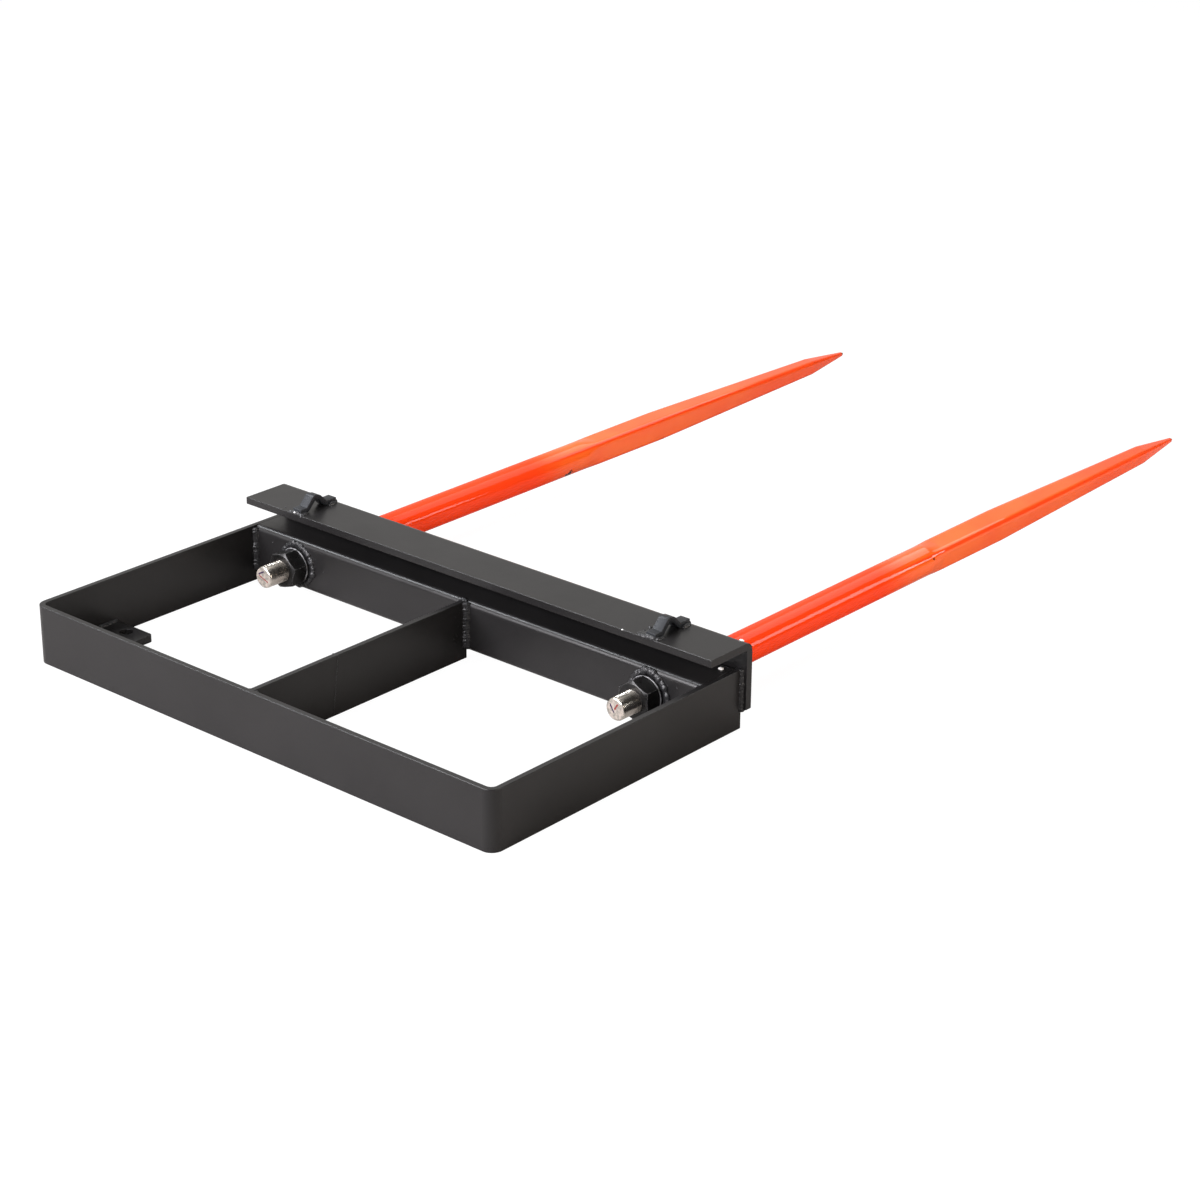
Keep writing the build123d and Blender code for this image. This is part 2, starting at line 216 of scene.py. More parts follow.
def paint_surround():
    """The world: white to the camera, an even warm fill, and in gloss a white side and a dark one."""
    world = bpy.data.worlds.new("studio")
    bpy.context.scene.world = world
    world.use_nodes = True
    tree = world.node_tree
    tree.nodes.clear()
    path = put(tree, "LightPath")
    seen = calculate(tree, "MAXIMUM", path.outputs["Is Camera Ray"], path.outputs["Is Transmission Ray"])
    direction = put(tree, "TexCoord").outputs["Generated"]
    toward = put(tree, "VectorMath", {0: direction, 1: BRIGHT_SIDE}, operation="DOT_PRODUCT")
    gloss = ramp(tree, toward.outputs["Value"], -0.1, 0.55, DARK_SIDE_STRENGTH, BRIGHT_SIDE_STRENGTH)
    fill = put(tree, "Mix", {0: path.outputs["Is Glossy Ray"], 2: FILL_STRENGTH, 3: gloss}).outputs[0]
    strength = put(tree, "Mix", {0: seen, 2: fill, 3: 1.0}).outputs[0]
    color = blend(tree, seen, WARM_FILL, WHITE)
    background = put(tree, "Background", {"Color": color, "Strength": strength})
    output = put(tree, "OutputWorld")
    tree.links.new(background.outputs[0], output.inputs["Surface"])
    bpy.context.scene.view_settings.view_transform = "Standard"


def lay_floor():
    """A pale floor that the camera sees as white, with the object's shadow faint on it."""
    bpy.ops.mesh.primitive_plane_add(size=FLOOR_WIDTH)
    floor = bpy.context.object
    floor.name = "floor"
    material = bpy.data.materials.new("floor_white")
    material.use_nodes = True
    tree = material.node_tree
    shader = tree.nodes["Principled BSDF"]
    shader.inputs["Base Color"].default_value = FLOOR_GREY
    shader.inputs["Roughness"].default_value = 0.8
    matt = put(tree, "BsdfDiffuse", {"Color": FLOOR_MATT})
    glow = put(tree, "Emission", {"Strength": FLOOR_GLOW})
    bright = put(tree, "AddShader", {0: matt.outputs[0], 1: glow.outputs[0]})
    path = put(tree, "LightPath")
    mix = put(tree, "MixShader", {
        0: path.outputs["Is Camera Ray"], 1: shader.outputs[0], 2: bright.outputs[0],
    })
    tree.links.new(mix.outputs[0], tree.nodes["Material Output"].inputs["Surface"])
    floor.data.materials.append(material)


# Effects that more than one finish uses

def make_paint_skin():
    """Orange peel of sprayed paint, with the fine grain of its powder."""
    tree, given, end = new_group("paint_skin", (
        ("Place", "Vector", None),
        ("Peel Size", "Float", 330.0),
        ("Peel Height", "Float", 0.00004),
        ("Grain Size", "Float", 1500.0),
        ("Grain Height", "Float", 0.00002),
    ), (("Normal", "Vector"), ("Grain", "Float")))
    peel = put(tree, "TexNoise", {"Vector": given["Place"], "Scale": given["Peel Size"], "Detail": 1.5})
    grain = put(tree, "TexNoise", {"Vector": given["Place"], "Scale": given["Grain Size"], "Detail": 1.0})
    peel_height = calculate(tree, "MULTIPLY", peel.outputs[0], given["Peel Height"])
    grain_height = calculate(tree, "MULTIPLY", grain.outputs[0], given["Grain Height"])
    height = calculate(tree, "ADD", peel_height, grain_height)
    bump = put(tree, "Bump", {"Height": height, "Distance": 1.0})
    tree.links.new(bump.outputs[0], end.inputs["Normal"])
    tree.links.new(grain.outputs[0], end.inputs["Grain"])
    return tree


def make_cloud():
    """Large soft variation, from Low to High, as thicker and thinner paint or oil give."""
    tree, given, end = new_group("cloud", (
        ("Place", "Vector", None),
        ("Size", "Float", 7.0),
        ("Low", "Float", 0.0),
        ("High", "Float", 1.0),
    ), (("Value", "Float"),))
    field = put(tree, "TexNoise", {"Vector": given["Place"], "Scale": given["Size"], "Detail": 4.0})
    value = ramp(tree, field.outputs[0], 0.3, 0.7, given["Low"], given["High"])
    tree.links.new(value, end.inputs["Value"])
    return tree


def make_edge_wear_and_highlight():
    """Edges where the paint is thin and rubbed, and where a painted highlight lies along them, in broken
    stretches.
    """
    tree, given, end = new_group("edge_wear_and_highlight", (
        ("Place", "Vector", None),
        ("Width", "Float", 0.0009),
        ("Break Size", "Float", 90.0),
        ("Cover", "Float", 0.45),
    ), (("Mask", "Float"),))
    rounded = put(tree, "Bevel", {"Radius": given["Width"]}, samples=4)
    plain = put(tree, "NewGeometry").outputs["Normal"]
    match = put(tree, "VectorMath", {0: rounded.outputs[0], 1: plain}, operation="DOT_PRODUCT")
    edge = ramp(tree, match.outputs["Value"], 0.99, 0.86)
    breaks = put(tree, "TexNoise", {"Vector": given["Place"], "Scale": given["Break Size"], "Detail": 5.0})
    margin = calculate(tree, "ADD", given["Cover"], 0.12)
    worn_and_highlit = put(tree, "MapRange", {
        "Value": breaks.outputs[0], "From Min": margin, "From Max": given["Cover"],
    })
    mask = calculate(tree, "MULTIPLY", edge, worn_and_highlit.outputs[0])
    tree.links.new(mask, end.inputs["Mask"])
    return tree


def make_weld_skin():
    """Fine slag grains and small craters under the paint of a weld."""
    tree, given, end = new_group("weld_skin", (
        ("Place", "Vector", None),
        ("Grain Size", "Float", 900.0),
        ("Height", "Float", 0.00018),
    ), (("Normal", "Vector"), ("Specks", "Float")))
    field = put(tree, "TexNoise", {"Vector": given["Place"], "Scale": given["Grain Size"], "Detail": 3.0})
    cells = put(tree, "TexVoronoi", {"Vector": given["Place"], "Scale": given["Grain Size"]})
    specks = ramp(tree, cells.outputs["Distance"], 0.1, 0.45)
    rough = calculate(tree, "MULTIPLY", calculate(tree, "ADD", field.outputs[0], specks), given["Height"])
    bump = put(tree, "Bump", {"Height": rough, "Distance": 1.0})
    tree.links.new(bump.outputs[0], end.inputs["Normal"])
    tree.links.new(specks, end.inputs["Specks"])
    return tree


def make_turned_rings():
    """Rings that a turning tool leaves round an axis along Y."""
    tree, given, end = new_group("turned_rings", (
        ("Place", "Vector", None),
        ("Ring Count", "Float", 700.0),
        ("Depth", "Float", 0.00003),
    ), (("Normal", "Vector"), ("Ring", "Float")))
    squeezed = put(tree, "Mapping", {"Vector": given["Place"], "Scale": (0.02, 1.0, 0.02)})
    rings = put(tree, "TexNoise", {
        "Vector": squeezed.outputs[0], "Scale": given["Ring Count"], "Detail": 2.0,
    })
    height = calculate(tree, "MULTIPLY", rings.outputs[0], given["Depth"])
    bump = put(tree, "Bump", {"Height": height, "Distance": 1.0})
    tree.links.new(bump.outputs[0], end.inputs["Normal"])
    tree.links.new(rings.outputs[0], end.inputs["Ring"])
    return tree


def make_mark():
    """A straight mark in the XZ plane about its middle, turned about Y, with soft and broken sides."""
    tree, given, end = new_group("mark", (
        ("Place", "Vector", None),
        ("Middle", "Vector", None),
        ("Turn", "Vector", None),
        ("Half Length", "Float", 0.01),
        ("Half Width", "Float", 0.001),
    ), (("Mask", "Float"),))
    local = put(tree, "Mapping", {
        "Vector": given["Place"], "Location": given["Middle"], "Rotation": given["Turn"],
    }, vector_type="TEXTURE")
    parts = put(tree, "SeparateXYZ", {0: local.outputs[0]})
    waver = put(tree, "TexNoise", {"Vector": given["Place"], "Scale": 420.0, "Detail": 3.0})
    sway = ramp(tree, waver.outputs[0], 0.2, 0.8, 0.5, 1.5)
    width = calculate(tree, "MULTIPLY", given["Half Width"], sway)
    across = calculate(tree, "DIVIDE", calculate(tree, "ABSOLUTE", parts.outputs["Z"]), width)
    along = calculate(tree, "DIVIDE", calculate(tree, "ABSOLUTE", parts.outputs["X"]), given["Half Length"])
    mask = calculate(tree, "MULTIPLY", ramp(tree, across, 1.0, 0.6), ramp(tree, along, 1.0, 0.85))
    tree.links.new(mask, end.inputs["Mask"])
    return tree


def make_chip():
    """A small ragged spot round a point, where paint is lost or dirt sticks."""
    tree, given, end = new_group("chip", (
        ("Place", "Vector", None),
        ("Middle", "Vector", None),
        ("Radius", "Float", 0.004),
    ), (("Mask", "Float"),))
    ragged = put(tree, "TexNoise", {"Vector": given["Place"], "Scale": 300.0, "Detail": 3.0})
    gap = put(tree, "VectorMath", {0: given["Place"], 1: given["Middle"]}, operation="DISTANCE")
    reach = calculate(tree, "DIVIDE", gap.outputs["Value"], given["Radius"])
    torn = calculate(tree, "ADD", reach, ramp(tree, ragged.outputs[0], 0.2, 0.8, -0.45, 0.45))
    tree.links.new(ramp(tree, torn, 1.0, 0.85), end.inputs["Mask"])
    return tree


# Finishes

# Black paint: the darker and the lighter of its two tones
FRAME_BLACKS = ((0.0104, 0.0099, 0.0101, 1), (0.0127, 0.0121, 0.0123, 1))
LOOP_BLACKS = ((0.013, 0.0145, 0.017, 1), (0.02, 0.022, 0.026, 1))
POWDER_SPECK = (0.05, 0.05, 0.052, 1)
# Edge colour of the black paint: rubbed thin paint, and also a painted highlight along the edges
PAINT_EDGE_WEAR_AND_HIGHLIGHT = (0.055, 0.054, 0.055, 1)
PAINT_GLOSS_SPREAD = 0.025
WELD_DARK = (0.01, 0.01, 0.011, 1)
WELD_LIGHT = (0.02, 0.02, 0.0215, 1)
# Colour of painted shade in the weld's craters
WELD_PIT_SHADE = (0.006, 0.0055, 0.0055, 1)
NUT_DARK = (0.004, 0.004, 0.004, 1)
NUT_LIGHT = (0.009, 0.0085, 0.0085, 1)
# Nut edges: rubbed steel, and also a painted highlight on the chamfer lines
NUT_EDGE_WEAR_AND_HIGHLIGHT = (0.28, 0.275, 0.28, 1)
RIM_PAINTED = (0.03, 0.03, 0.031, 1)
RIM_BARE = (0.33, 0.33, 0.34, 1)
# White of the flecks: painted glints
GLINT_WHITE = (0.95, 0.95, 0.93, 1)
GLINT_DULL = (0.8, 0.79, 0.77, 1)


def new_finish(name, specular=None, coat=None):
    """A material, with the values that are the same all over it set on its shader."""
    material = bpy.data.materials.new(name)
    material.use_nodes = True
    shader = material.node_tree.nodes["Principled BSDF"]
    if specular is not None:
        shader.inputs["Specular IOR Level"].default_value = specular
    if coat is not None:
        shader.inputs["Coat Weight"].default_value = 1.0
        shader.inputs["Coat Roughness"].default_value = coat
    return material, material.node_tree, shader


def feed(tree, shader, **outputs):
    for name, output in outputs.items():
        tree.links.new(output, shader.inputs[name.replace("_", " ")])


def make_black_paint(name, tones, rough, specular):
    """Satin black powder paint, a little uneven in tone and gloss, and lighter on its edges: thin paint
    there, and a painted highlight.
    """
    material, tree, shader = new_finish(name, specular)
    place = object_place(tree)
    tone = place_group(tree, effects["cloud"], {"Place": place, "Size": 9.0})["Value"]
    gloss = place_group(tree, effects["cloud"], {
        "Place": place, "Size": 23.0, "Low": rough - PAINT_GLOSS_SPREAD, "High": rough + PAINT_GLOSS_SPREAD,
    })["Value"]
    skin = place_group(tree, effects["paint_skin"], {"Place": place, "Peel Height": 0.00002})
    wear_and_highlight = place_group(tree, effects["edge_wear_and_highlight"], {"Place": place})["Mask"]
    color = blend(tree, tone, *tones)
    speckled = blend(tree, ramp(tree, skin["Grain"], 0.62, 0.8, 0.0, 0.1), color, POWDER_SPECK)
    # The edges are lightened as rubbed paint and as a painted highlight
    worn_and_highlit = blend(tree, calculate(tree, "MULTIPLY", wear_and_highlight, 0.6), speckled, PAINT_EDGE_WEAR_AND_HIGHLIGHT)
    feed(tree, shader, Base_Color=worn_and_highlit, Roughness=gloss, Normal=skin["Normal"])
    return material


def make_weld_black():
    """The same paint over rough weld metal, with craters and slag under it, and painted shade darkening the
    craters.
    """
    material, tree, shader = new_finish("weld_black", 0.42)
    place = object_place(tree)
    skin = place_group(tree, effects["weld_skin"], {"Place": place})
    tone = place_group(tree, effects["cloud"], {"Place": place, "Size": 60.0})["Value"]
    color = blend(tree, tone, WELD_DARK, WELD_LIGHT)
    # Painted shade in the craters: darker where the bump is dug in
    pit_shaded = blend(tree, skin["Specks"], WELD_PIT_SHADE, color)
    gloss = ramp(tree, skin["Specks"], 0.0, 1.0, 0.46, 0.34)
    feed(tree, shader, Base_Color=pit_shaded, Roughness=gloss, Normal=skin["Normal"])
    return material


def make_nut_black():
    """Blackened steel, nearly black on its flats, and bright along its edges: partly rubbed steel and
    partly a painted highlight.
    """
    material, tree, shader = new_finish("nut_black", 0.3)
    place = object_place(tree)
    skin = place_group(tree, effects["paint_skin"], {
        "Place": place, "Peel Size": 600.0, "Peel Height": 0.00003,
    })
    wear_and_highlight = place_group(tree, effects["edge_wear_and_highlight"], {
        "Place": place, "Width": 0.0011, "Break Size": 160.0, "Cover": 0.55,
    })["Mask"]
    tone = place_group(tree, effects["cloud"], {"Place": place, "Size": 70.0})["Value"]
    color = blend(tree, tone, NUT_DARK, NUT_LIGHT)
    # The nut's edges are lightened as rubbed steel and as a painted highlight
    worn_and_highlit = blend(tree, wear_and_highlight, color, NUT_EDGE_WEAR_AND_HIGHLIGHT)
    gloss = place_group(tree, effects["cloud"], {"Place": place, "Size": 120.0, "Low": 0.26, "High": 0.4})
    feed(tree, shader, Base_Color=worn_and_highlit, Roughness=gloss["Value"], Normal=skin["Normal"])
    return material


def make_rubbed_steel():
    """Steel rubbed bare in places, with black paint left between them."""
    material, tree, shader = new_finish("rubbed_steel", 0.5)
    place = object_place(tree)
    bare = place_group(tree, effects["cloud"], {"Place": place, "Size": 95.0})["Value"]
    color = blend(tree, bare, RIM_PAINTED, RIM_BARE)
    gloss = place_group(tree, effects["cloud"], {"Place": place, "Size": 160.0, "Low": 0.25, "High": 0.4})
    feed(tree, shader, Base_Color=color, Roughness=gloss["Value"])
    return material


STEEL_LIGHT = (0.66, 0.62, 0.56, 1)
STEEL_DARK = (0.42, 0.375, 0.325, 1)
END_DARK = (0.24, 0.23, 0.2, 1)
END_LIGHT = (0.5, 0.43, 0.38, 1)
SCRIBE_PURPLE = (0.05, 0.03, 0.07, 1)
SCRIBE_RED = (0.26, 0.045, 0.04, 1)

# Lines scribed on the ends of the stubs: side, start and end from the tine's axis and half width, all three
# in millimetres, and colour
SCRIBES = (
    (-1, (-9.5, 2.7), (1.8, 9.4), 1.5, SCRIBE_PURPLE),
    (-1, (-8.7, 1.9), (9.3, -5.0), 1.2, SCRIBE_RED),
    (1, (-8.5, 6.3), (-1.4, -5.1), 1.4, SCRIBE_PURPLE),
    (1, (4.9, 8.5), (-1.5, -0.4), 1.4, SCRIBE_RED),
)
SCRIBED_DEPTH = 0.4 * MM


def make_bare_steel():
    """Turned steel of the stubs, oily and slightly tinted, with the fitter's scribed lines on the ends."""
    material, tree, shader = new_finish("bare_steel")
    place = object_place(tree)
    rings = place_group(tree, effects["turned_rings"], {"Place": place})
    tone = place_group(tree, effects["cloud"], {"Place": place, "Size": 25.0, "High": 0.5})["Value"]
    color = blend(tree, tone, STEEL_LIGHT, STEEL_DARK)
    color = blend(tree, ramp(tree, rings["Ring"], 0.55, 0.75, 0.0, 0.4), color, STEEL_DARK)
    depth = put(tree, "SeparateXYZ", {0: place}).outputs["Y"]
    on_end = ramp(tree, depth, STUB_END + SCRIBED_DEPTH, STUB_END)
    plain = calculate(tree, "SUBTRACT", 1.0, on_end)
    end_tone = place_group(tree, effects["cloud"], {"Place": place, "Size": 260.0})["Value"]
    face = blend(tree, end_tone, END_DARK, END_LIGHT)
    color = blend(tree, on_end, color, face)
    for side, start, end, half_width, ink in SCRIBES:
        middle = Vector(((start[0] + end[0]) / 2, 0, (start[1] + end[1]) / 2)) * MM
        run = Vector((end[0] - start[0], end[1] - start[1]))
        mask = place_group(tree, effects["mark"], {
            "Place": place,
            "Middle": middle + Vector((side * TINE_X, 0, TINE_Z)),
            "Turn": (0, -math.atan2(run.y, run.x), 0),
            "Half Length": run.length / 2 * MM,
            "Half Width": half_width * MM,
        })["Mask"]
        color = blend(tree, calculate(tree, "MULTIPLY", mask, on_end), color, ink)
    gloss = place_group(tree, effects["cloud"], {"Place": place, "Size": 90.0, "Low": 0.2, "High": 0.27})
    metal = ramp(tree, plain, 0.0, 1.0, 0.35, 1.0)
    feed(tree, shader, Base_Color=color, Roughness=gloss["Value"], Metallic=metal, Normal=rings["Normal"])
    return material


TINE_ORANGE = (0.95, 0.135, 0.016, 1)
TINE_DEEP = (0.93, 0.1, 0.012, 1)
TINE_ROUND = (0.94, 0.052, 0.007, 1)
TINE_NEAR_TIP = (0.92, 0.07, 0.011, 1)
TIP_SOOT = (0.02, 0.012, 0.01, 1)

# Chips in the tines' paint: middle and radius, in millimetres
TINE_CHIPS = (
    ((-293, 687, 31), 6.5),
    ((-291.5, 680, 30), 4.0),
    ((329, 729, 52), 3.2),
)
BARE_TIP = 6 * MM
REDDER_TIP_START = 900 * MM
ROUND_END = 600 * MM
FLATS_START = 700 * MM

# Side, and the degrees that the square stretch of its tine is turned from +X towards +Z
TINE_ROLLS = ((-1, -3.3), (1, -11.7))


def make_tine_orange():
    """Glossy orange lacquer, deeper on the square's edges, with chips, a rubbed tip and bare threads."""
    material, tree, shader = new_finish("tine_orange", 0.0, 0.05)
    place = object_place(tree)
    depth = put(tree, "SeparateXYZ", {0: place}).outputs["Y"]
    tone = place_group(tree, effects["cloud"], {"Place": place, "Size": 11.0})["Value"]
    skin = place_group(tree, effects["paint_skin"], {
        "Place": place, "Peel Size": 140.0, "Peel Height": 0.00003, "Grain Height": 0.000002,
    })
    on_flats = ramp(tree, depth, ROUND_END, FLATS_START)
    color = blend(tree, on_flats, TINE_ROUND, blend(tree, tone, TINE_ORANGE, TINE_DEEP))
    for sign, roll in TINE_ROLLS:
        local = put(tree, "Mapping", {
            "Vector": place,
            "Location": (sign * TINE_X, 0, TINE_Z),
            "Rotation": (0, -math.radians(roll), 0),
        }, vector_type="TEXTURE")
        parts = put(tree, "SeparateXYZ", {0: local.outputs[0]})
        wide = calculate(tree, "ABSOLUTE", parts.outputs["X"])
        high = calculate(tree, "ABSOLUTE", parts.outputs["Z"])
        nearer = calculate(tree, "MINIMUM", wide, high)
        farther = calculate(tree, "MAXIMUM", wide, high)
        diagonal = ramp(tree, calculate(tree, "DIVIDE", nearer, farther), 0.66, 0.9, 0.0, 0.8)
        ridge = calculate(tree, "MULTIPLY", diagonal, on_flats)
        color = blend(tree, ridge, color, TINE_ROUND)
    toward_tip = ramp(tree, depth, REDDER_TIP_START, TINE_TIP, 0.0, 0.8)
    color = blend(tree, toward_tip, color, TINE_NEAR_TIP)
    for middle, radius in TINE_CHIPS:
        mask = place_group(tree, effects["chip"], {
            "Place": place, "Middle": Vector(middle) * MM, "Radius": radius * MM,
        })["Mask"]
        color = blend(tree, mask, color, TIP_SOOT)
    color = blend(tree, ramp(tree, depth, TINE_TIP - BARE_TIP, TINE_TIP - BARE_TIP / 3), color, TIP_SOOT)
    bare = ramp(tree, depth, NUT_FRONT + MM, NUT_FRONT)
    color = blend(tree, bare, color, STEEL_DARK)
    gloss = place_group(tree, effects["cloud"], {"Place": place, "Size": 17.0, "Low": 0.26, "High": 0.36})
    lacquer = ramp(tree, on_flats, 0.0, 1.0, 0.45, 1.0)
    feed(
        tree, shader, Base_Color=color, Roughness=gloss["Value"], Metallic=bare, Normal=skin["Normal"],
        Coat_Weight=lacquer,
    )
    return material


def make_white_glint():
    """Weld drops coloured white, as painted glints."""
    material, tree, shader = new_finish("white_glint", 0.5)
    place = object_place(tree)
    tone = place_group(tree, effects["cloud"], {"Place": place, "Size": 400.0})["Value"]
    color = blend(tree, tone, GLINT_WHITE, GLINT_DULL)
    gloss = place_group(tree, effects["cloud"], {"Place": place, "Size": 300.0, "Low": 0.2, "High": 0.4})
    feed(tree, shader, Base_Color=color, Roughness=gloss["Value"])
    return material


# Modelling steps

def select_only(*objects):
    bpy.ops.object.select_all(action="DESELECT")
    for thing in objects:
        thing.select_set(True)
    bpy.context.view_layer.objects.active = objects[0]


def settle(piece):
    """Puts the place, turn and size of a piece into its mesh."""
    select_only(piece)
    bpy.ops.object.transform_apply(location=True, rotation=True, scale=True)


def finish_with(piece, kind, **settings):
    """Adds a modifier and applies it."""
    modifier = piece.modifiers.new(kind.lower(), kind)
    for name, value in settings.items():
        setattr(modifier, name, value)
    select_only(piece)
    bpy.ops.object.modifier_apply(modifier=modifier.name)


def smooth(piece, degrees_limit):
    select_only(piece)
    bpy.ops.object.shade_smooth_by_angle(angle=math.radians(degrees_limit))


def join(name, pieces):
    select_only(*pieces)
    bpy.ops.object.join()
    piece = bpy.context.object
    piece.name = name
    piece.data.name = name
    bpy.ops.object.select_all(action="DESELECT")
    return piece


def hand_over(piece, material, slot, *replaced):
    """Gives a finished piece its material and its place on the body."""
    piece.data.materials.clear()
    piece.data.materials.append(material)
    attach(piece, "root")
    if replaced:
        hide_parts(*replaced)
    bpy.ops.object.select_all(action="DESELECT")


def draw_chain(name, points):
    """A chain of edges, drawn by extruding one vertex from point to point."""
    bpy.ops.mesh.primitive_plane_add(size=MM, location=points[0])
    chain = bpy.context.object
    chain.name = name
    bpy.ops.object.mode_set(mode="EDIT")
    bpy.ops.mesh.select_all(action="SELECT")
    bpy.ops.mesh.merge(type="CENTER")
    for start, end in zip(points, points[1:]):
        step = Vector(end) - Vector(start)
        bpy.ops.mesh.extrude_region_move(TRANSFORM_OT_translate={"value": step})
    bpy.ops.object.mode_set(mode="OBJECT")
    return chain


def close_up(piece):
    """Merges a piece's doubles and turns its faces outwards."""
    select_only(piece)
    bpy.ops.object.mode_set(mode="EDIT")
    bpy.ops.mesh.select_all(action="SELECT")
    bpy.ops.mesh.remove_doubles(threshold=0.01 * MM)
    bpy.ops.mesh.normals_make_consistent(inside=False)
    bpy.ops.object.mode_set(mode="OBJECT")


# Pieces with rounded edges that stand for the CAD nodes of the same name

LOOP_ROUNDING = 0.9 * MM
LUG_ROUNDING = 0.8 * MM
NUT_ROUNDING = 0.45 * MM


def round_edges(node, radius, material, slot):
    """A copy of a node whose sharp edges are rounded over, as sawn and painted bar is."""
    piece = nodes[node].copy()
    piece.data = nodes[node].data.copy()
    piece.name = node + "_rounded"
    bpy.context.scene.collection.objects.link(piece)
    close_up(piece)
    bpy.ops.object.mode_set(mode="EDIT")
    bpy.ops.mesh.select_all(action="SELECT")
    bpy.ops.mesh.dissolve_limited(angle_limit=math.radians(1))
    bpy.ops.object.mode_set(mode="OBJECT")
    finish_with(
        piece, "BEVEL", width=radius, segments=3, limit_method="ANGLE", angle_limit=math.radians(24),
    )
    smooth(piece, 40)
    hand_over(piece, material, slot, node)


# Threaded ends of the tines, and the lips of the sockets behind them

THREAD_CREST = 14.97 * MM
THREAD_ROOT = 14.78 * MM
THREAD_PITCH = 2.0 * MM
CREST_SHARE = 0.6
FLANK_SHARE = 0.12
THREAD_RUN_OUT = 3.2 * MM
THREAD_IN_NUT = 0.9 * MM
END_FACE_RADIUS = 12.4 * MM
END_ROUNDING = 2.4 * MM
END_FACE_LIFT = 0.05 * MM
TURN_STEPS = 64

# Section of a socket's lip, in millimetres: radius, and distance in front of the nut's face
RIM_SECTION = (
    (24.2, 0.9),
    (24.2, 0.0),
    (24.5, -0.14),
    (24.85, 0.05),
    (25.06, 0.45),
    (25.06, 0.9),
    (24.2, 0.9),
)


def turn_section(name, section, x):
    """A section, spun all the way round the axis of the tine at x."""
    piece = draw_chain(name, section)
    settle(piece)
    bpy.ops.object.mode_set(mode="EDIT")
    bpy.ops.mesh.select_all(action="SELECT")
    bpy.ops.mesh.spin(steps=TURN_STEPS, angle=math.tau, center=(x, 0, TINE_Z), axis=(0, 1, 0))
    bpy.ops.object.mode_set(mode="OBJECT")
    close_up(piece)
    return piece


def cut_thread(side, sign):
    """A turned end with a rounded rim, and behind it the fine thread that runs into the nut."""
    x = sign * TINE_X
    face = STUB_END - END_FACE_LIFT
    collar = face + THREAD_RUN_OUT
    rim = [(x, face, TINE_Z)]
    for step in range(6):
        angle = math.radians(18 * step)
        radius = END_FACE_RADIUS + (THREAD_CREST - END_FACE_RADIUS) * math.sin(angle)
        rim.append((x + radius, face + END_ROUNDING * (1 - math.cos(angle)), TINE_Z))
    rim.append((x + THREAD_CREST, collar, TINE_Z))
    rim.append((x, collar, TINE_Z))
    end = turn_section("stub_end", rim, x)

    flank = FLANK_SHARE * THREAD_PITCH
    crest = CREST_SHARE * THREAD_PITCH
    groove = THREAD_PITCH - crest - 2 * flank
    start = collar - 2 * THREAD_PITCH
    steps = (
        (0, THREAD_ROOT),
        (groove, THREAD_ROOT),
        (flank, THREAD_CREST),
        (crest, THREAD_CREST),
        (flank, THREAD_ROOT),
    )
    profile = []
    y = 0
    for step, radius in steps:
        y += step
        profile.append((radius, y, 0))
    thread = draw_chain("stub_thread", profile)
    settle(thread)
    turns = math.ceil((NUT_REAR - start) / THREAD_PITCH) + 2
    finish_with(
        thread, "SCREW", axis="Y", angle=math.tau, screw_offset=THREAD_PITCH, iterations=turns,
        steps=TURN_STEPS, render_steps=TURN_STEPS, use_merge_vertices=True, merge_threshold=0.01 * MM,
    )
    thread.location = (x, start, TINE_Z)
    settle(thread)
    close_up(thread)
    for cut, outward in ((collar - 0.5 * THREAD_PITCH, -1), (NUT_REAR + THREAD_IN_NUT, 1)):
        bpy.ops.object.mode_set(mode="EDIT")
        bpy.ops.mesh.select_all(action="SELECT")
        bpy.ops.mesh.bisect(
            plane_co=(x, cut, TINE_Z), plane_no=(0, outward, 0), clear_outer=True, use_fill=True,
        )
        bpy.ops.object.mode_set(mode="OBJECT")
    close_up(thread)
    piece = join(f"{side}_stub_thread", (end, thread))
    smooth(piece, 35)
    hand_over(piece, finishes["bare_steel"], "tine_paint")


def turn_rim(side, sign):
    """The rim of the neck, rounded over and rubbed bare round the nut."""
    x = sign * TINE_X
    section = [(x + radius * MM, NUT_FRONT + y * MM, TINE_Z) for radius, y in RIM_SECTION]
    rim = turn_section(f"{side}_socket_rim", section, x)
    smooth(rim, 50)
    hand_over(rim, finishes["rubbed_steel"], "frame_paint")


# Welds, laid as puddles of metal that run into each other

PUDDLE_PITCH = 2.6 * MM
PUDDLE_LEAN = math.radians(32)
PUDDLE_SHIFT = 0.06
ALONG_SHARE = 1.35
CROWN_SHARE = 0.8
SPREAD_SHARE = 1.06
RING_SHIFT = 0.4
RING_LENGTHS = (0.8, 1.8)
RING_LEANS = (-0.5, 0.8)
FINE_GRAIN = 0.65 * MM
COARSE_GRAIN = 1.0 * MM
SEAM_GRAIN = 0.4 * MM
LUMP_HEIGHT = 0.22 * MM
LUMP_COUNT = 420

FORWARD = (0, 1, 0)
REARWARD = (0, -1, 0)
UPWARD = (0, 0, 1)
DOWNWARD = (0, 0, -1)


def make_round_drop(name, subdivisions, unevenness, lump_count):
    """A ball of unit radius, slightly uneven, that welds and spatter are made from."""
    bpy.ops.mesh.primitive_ico_sphere_add(subdivisions=subdivisions, radius=1)
    drop = bpy.context.object
    drop.name = name
    for vertex in drop.data.vertices:
        vertex.co *= 1 + unevenness * noise.noise(vertex.co * lump_count)
    bpy.ops.object.select_all(action="DESELECT")
    return drop


